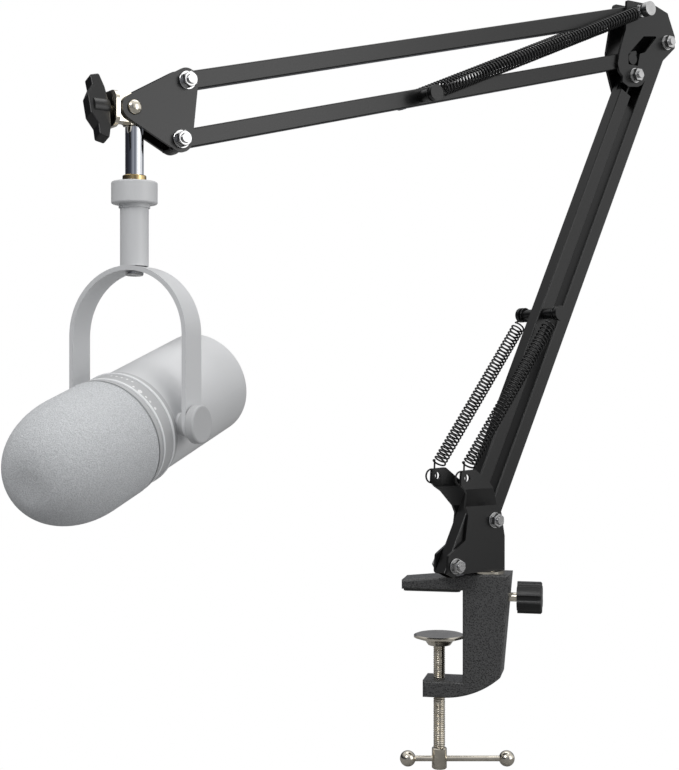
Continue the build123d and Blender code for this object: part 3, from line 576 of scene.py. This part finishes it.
nut_mesh = stack("nut", [(0, HOLE), (0, FLATS / 2 * 0.94), (chamfer(0, -1), corner), (chamfer(NUT, 1), corner),
                         (NUT, FLATS / 2 * 0.94), (NUT, HOLE + 0.0004), (NUT - 0.0004, HOLE)])
WASHER, WASHER_THICK = 0.0052, 0.001
washer_mesh = stack("washer", [(0, HOLE), (0, WASHER - 0.0002), (0.0002, WASHER), (WASHER_THICK - 0.0002, WASHER),
                               (WASHER_THICK, WASHER - 0.0002), (WASHER_THICK, HOLE + 0.0002)])
print("nut", len(nut_mesh.polygons), "washer", len(washer_mesh.polygons), "faces")

# %% Set a fastener on every bolt
def on_bolts(template, material):
    s = Shape("set of " + template.name)
    pattern = s.node("GeometryNodeObjectInfo", {}, {"Object": template}, "Geometry")
    copies = s.node("GeometryNodeInstanceOnPoints", {}, {"Points": s.points(), "Instance": pattern})
    return s.finish(copies, material)


face_out = Matrix((ALONG, UP, OUT)).transposed().to_4x4()
face_in = face_out.inverted()


def in_plane(points):
    """Points written with the out-of-plane direction as Z, for a tree that is turned afterwards."""
    return [face_in @ point for point in points]


PLATE_OUT = 0.0072


def fastener_set(body, node, bolts):
    made = []
    nut_points = [b + OUT * (PLATE_OUT + WASHER_THICK) for b in bolts]
    washer_points = [b + OUT * d for b in bolts for d in (PLATE_OUT, -PLATE_OUT - WASHER_THICK)]
    for mesh, points in ((nut_mesh, nut_points), (washer_mesh, washer_points)):
        template = plain_object(mesh.name + " template", mesh)
        tree = on_bolts(template, finishes["zinc"])
        piece = make(tree, body + "_" + mesh.name + "_set", in_plane(points), face_out)
        bpy.data.objects.remove(template)
        made.append(piece)
    tips = Shape("bolt tips")
    spiral = tips.node("GeometryNodeCurveSpiral", {}, {
        "Resolution": 20, "Rotations": 7.0, "Start Radius": 0.0024, "End Radius": 0.0024, "Height": 0.0054})
    crest = tips.node("GeometryNodeCurvePrimitiveCircle", {}, {"Resolution": 4, "Radius": 0.00035})
    ridge = tips.node("GeometryNodeCurveToMesh", {}, {"Curve": spiral, "Profile Curve": crest, "Fill Caps": True})
    copies = tips.node("GeometryNodeInstanceOnPoints", {}, {"Points": tips.points(), "Instance": ridge})
    tips.finish(copies, finishes["zinc"])
    start = PLATE_OUT + WASHER_THICK + NUT - 0.0044
    made.append(make(tips, body + "_bolt_threads", in_plane([b + OUT * start for b in bolts]), face_out, smooth=True))
    for piece in made:
        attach(piece, body)
    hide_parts(node)
    return made


fastener_set("bracket", "base_nuts_and_washers", [base_left, base_right])
fastener_set("head", "head_nuts_and_washers", [head_high, head_low])

# %% [markdown]
# ## Foam windscreen
# The foam is a thick soft cap pulled over the wire basket. It is soft, so it gets its
# own mesh: a turned wall with an open mouth, its surface pushed in and out by noise
# like real cut foam. Its axis is the one it slides off along.

# %% Foam mesh
slide = Vector(joints["foam_slide"]["axis"]).normalized()
mic_centre = pivot("mic_tilt")
side_way = Vector(joints["mic_tilt"]["axis"]).normalized()
nose = Matrix((side_way, slide.cross(side_way), slide)).transposed().to_4x4()
nose = Matrix.Translation(mic_centre) @ nose
FOAM_R, FOAM_REAR, FOAM_SHOULDER, FOAM_TIP, FOAM_FLAT = 0.0335, 0.0268, 0.054, 0.096, 0.008
BORE_R, BORE_SHOULDER, BORE_TIP = 0.0269, 0.058, 0.0864


def nose_profile(radius, start, shoulder, tip, steps):
    """(distance along the nose, radius) from the mouth to the middle of the tip."""
    line = [(start + (shoulder - start) * i / 16, radius) for i in range(16)]
    for i in range(steps + 1):
        turn = math.pi / 2 * i / steps
        line.append((shoulder + (tip - shoulder) * math.sin(turn), FOAM_FLAT + (radius - FOAM_FLAT) * math.cos(turn)))
    line += [(tip, FOAM_FLAT * (1 - k / 4)) for k in range(1, 4)]
    return line


outer = nose_profile(FOAM_R, FOAM_REAR + 0.002, FOAM_SHOULDER, FOAM_TIP, 28)
mouth = [(FOAM_REAR, BORE_R + 0.001), (FOAM_REAR, FOAM_R - 0.002), (FOAM_REAR + 0.0006, FOAM_R - 0.0006)]
inner = nose_profile(BORE_R, FOAM_REAR + 0.001, BORE_SHOULDER, BORE_TIP, 16)
foam_mesh = stack("foam_cap", list(reversed(inner)) + mouth + outer, closed=False, around=160)
print("foam rings", len(inner) + len(mouth) + len(outer))

# %% Close the tips, roughen and place the foam
def close_tips(mesh):
    builder = bmesh.new()
    builder.from_mesh(mesh)
    rims = [edge for edge in builder.edges if edge.is_boundary]
    bmesh.ops.holes_fill(builder, edges=rims, sides=0)
    bmesh.ops.recalc_face_normals(builder, faces=builder.faces)
    builder.to_mesh(mesh)
    builder.free()


close_tips(foam_mesh)
foam_mesh.transform(nose)
for polygon in foam_mesh.polygons:
    polygon.use_smooth = True
foam_cap = plain_object("foam_cap", foam_mesh)
foam_mesh.materials.append(finishes["foam"])
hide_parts("foam_windscreen")
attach(foam_cap, "foam")
print("foam cap", len(foam_mesh.polygons), "faces")

# %% [markdown]
# ## Dots on the control ring
# The ring carries a row of small pale marks over its touch strip. They are plain round
# dots, set on the ring's surface by their angle round the nose.

# %% Control ring dots
DOT_SIDES = 16
RING_SURFACE, RING_MIDDLE = 0.03205, 0.0163
dot_finish = Finish("pale ink")
dot_colour = dot_finish.blend(dot_finish.noise(900), shade(0.8), shade(0.9))
dot_material = dot_finish.surface(Base_Color=dot_colour, Roughness=0.5)


def dots():
    builder = bmesh.new()
    rear_row = [(degrees, 0.0007, -0.0018) for degrees in (88, 82, 76, 70, 64)]
    front_row = [(58, 0.0007, 0.002), (50, 0.0014, 0.002), (42, 0.0007, 0.002),
                 (36, 0.0007, 0.002), (28, 0.0009, 0.002)]
    for degrees, radius, ahead in rear_row + front_row:
        turn = math.radians(degrees)
        middle_point = Vector((math.cos(turn) * RING_SURFACE, math.sin(turn) * RING_SURFACE, RING_MIDDLE + ahead))
        away = Vector((math.cos(turn), math.sin(turn), 0))
        across = Vector((-away.y, away.x, 0))
        rim = []
        for i in range(DOT_SIDES):
            angle = 2 * math.pi * i / DOT_SIDES
            spoke = across * math.cos(angle) + Vector((0, 0, 1)) * math.sin(angle)
            rim.append(builder.verts.new(middle_point + spoke * radius))
        face = builder.faces.new(rim)
        if face.normal.dot(away) < 0:
            face.normal_flip()
    mesh = bpy.data.meshes.new("ring_dots")
    builder.to_mesh(mesh)
    builder.free()
    return mesh


dot_mesh = dots()
dot_mesh.transform(nose)
dot_mesh.materials.append(dot_material)
ring_dots = plain_object("ring_dots", dot_mesh)
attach(ring_dots, "mic")
print("dots", len(dot_mesh.polygons))

# %% [markdown]
# ## Studio
# A pale floor just under the clamp handle, a white surround for the camera, and for
# everything else a room that is dark on the left and bright on the right. Black paint
# shows its shape only by what it reflects, so the faces that turn left stay black and
# the ones that turn right go grey, and bright metal gets its dark and light stripes.
# Three large lamps: a key from the front, a fill from the right and a light from above.

# %% Floor and surround
floor_mesh = bpy.data.meshes.new("floor")
FLOOR_Z = cad_bounds[0][2] - 0.0005
floor_mesh.from_pydata([(-6, -6, FLOOR_Z), (6, -6, FLOOR_Z), (6, 6, FLOOR_Z), (-6, 6, FLOOR_Z)], [], [(0, 1, 2, 3)])
floor = plain_object("floor", floor_mesh)
floor_finish = Finish("pale floor")
mat_grey = floor_finish.node("ShaderNodeBsdfDiffuse", {}, {"Color": (0.3, 0.3, 0.3, 1)})
mat_white = floor_finish.node("ShaderNodeEmission", {}, {"Color": (1, 1, 1, 1), "Strength": 1.0})
looked_at = floor_finish.node("ShaderNodeLightPath", output="Is Camera Ray")
floor_finish.node_output(floor_finish.node("ShaderNodeMixShader", {}, {0: looked_at, 1: mat_grey, 2: mat_white}))
floor_mesh.materials.append(floor_finish.material)

surround = bpy.data.worlds.new("studio")
bpy.context.scene.world = surround
surround.use_nodes = True
sky = Tree(surround.node_tree)
surround.node_tree.nodes.clear()
direction = sky.node("ShaderNodeTexCoord", output="Generated")
height = sky.node("ShaderNodeSeparateXYZ", {}, {0: direction}, "Z")
across = sky.node("ShaderNodeSeparateXYZ", {}, {0: direction}, "X")
walls = sky.node("ShaderNodeValToRGB", {"stops": [(0.0, (0.02, 0.02, 0.025, 1)), (0.3, (0.06, 0.065, 0.08, 1)),
                                                 (0.55, (0.32, 0.33, 0.36, 1)), (0.75, (0.12, 0.13, 0.16, 1)),
                                                 (0.95, (0.9, 0.9, 0.9, 1))]}, {"Fac": across * 0.5 + 0.5})
overhead = sky.node("ShaderNodeValToRGB", {"stops": [(0.3, (0, 0, 0, 1)), (0.75, (1, 1, 1, 1))]}, {"Fac": height})
level = sky.node("ShaderNodeMix", {"data_type": "RGBA"}, {0: overhead, 6: walls, 7: (0.75, 0.75, 0.75, 1)}, 2)
seen = sky.node("ShaderNodeLightPath", output="Is Camera Ray")
shown = sky.node("ShaderNodeMix", {"data_type": "RGBA"}, {0: seen, 6: level, 7: (1, 1, 1, 1)}, 2)
glow = sky.node("ShaderNodeBackground", {}, {"Color": shown, "Strength": 1.0})
surround_out = surround.node_tree.nodes.new("ShaderNodeOutputWorld")
surround.node_tree.links.new(glow.socket, surround_out.inputs[0])
print("floor at", FLOOR_Z)

# %% Lamps
def lamp(name, place, target, size, power):
    data = bpy.data.lights.new(name, "AREA")
    data.shape = "RECTANGLE"
    data.size, data.size_y = size
    data.energy = power
    made = bpy.data.objects.new(name, data)
    made.location = place
    made.rotation_euler = (Vector(target) - Vector(place)).to_track_quat("-Z", "Y").to_euler()
    made.visible_camera = False
    bpy.context.scene.collection.objects.link(made)


centre = (Vector(cad_bounds[0]) + Vector(cad_bounds[1])) / 2
lamp("key", centre + Vector((-0.5, -1.5, 1.1)), centre, (0.9, 0.7), 11)
lamp("fill", centre + Vector((1.5, -0.5, 0.2)), centre, (0.7, 1.4), 5.5)
lamp("top", centre + Vector((0.1, 0.3, 1.5)), centre, (1.4, 1.0), 6)
print("lamps placed")
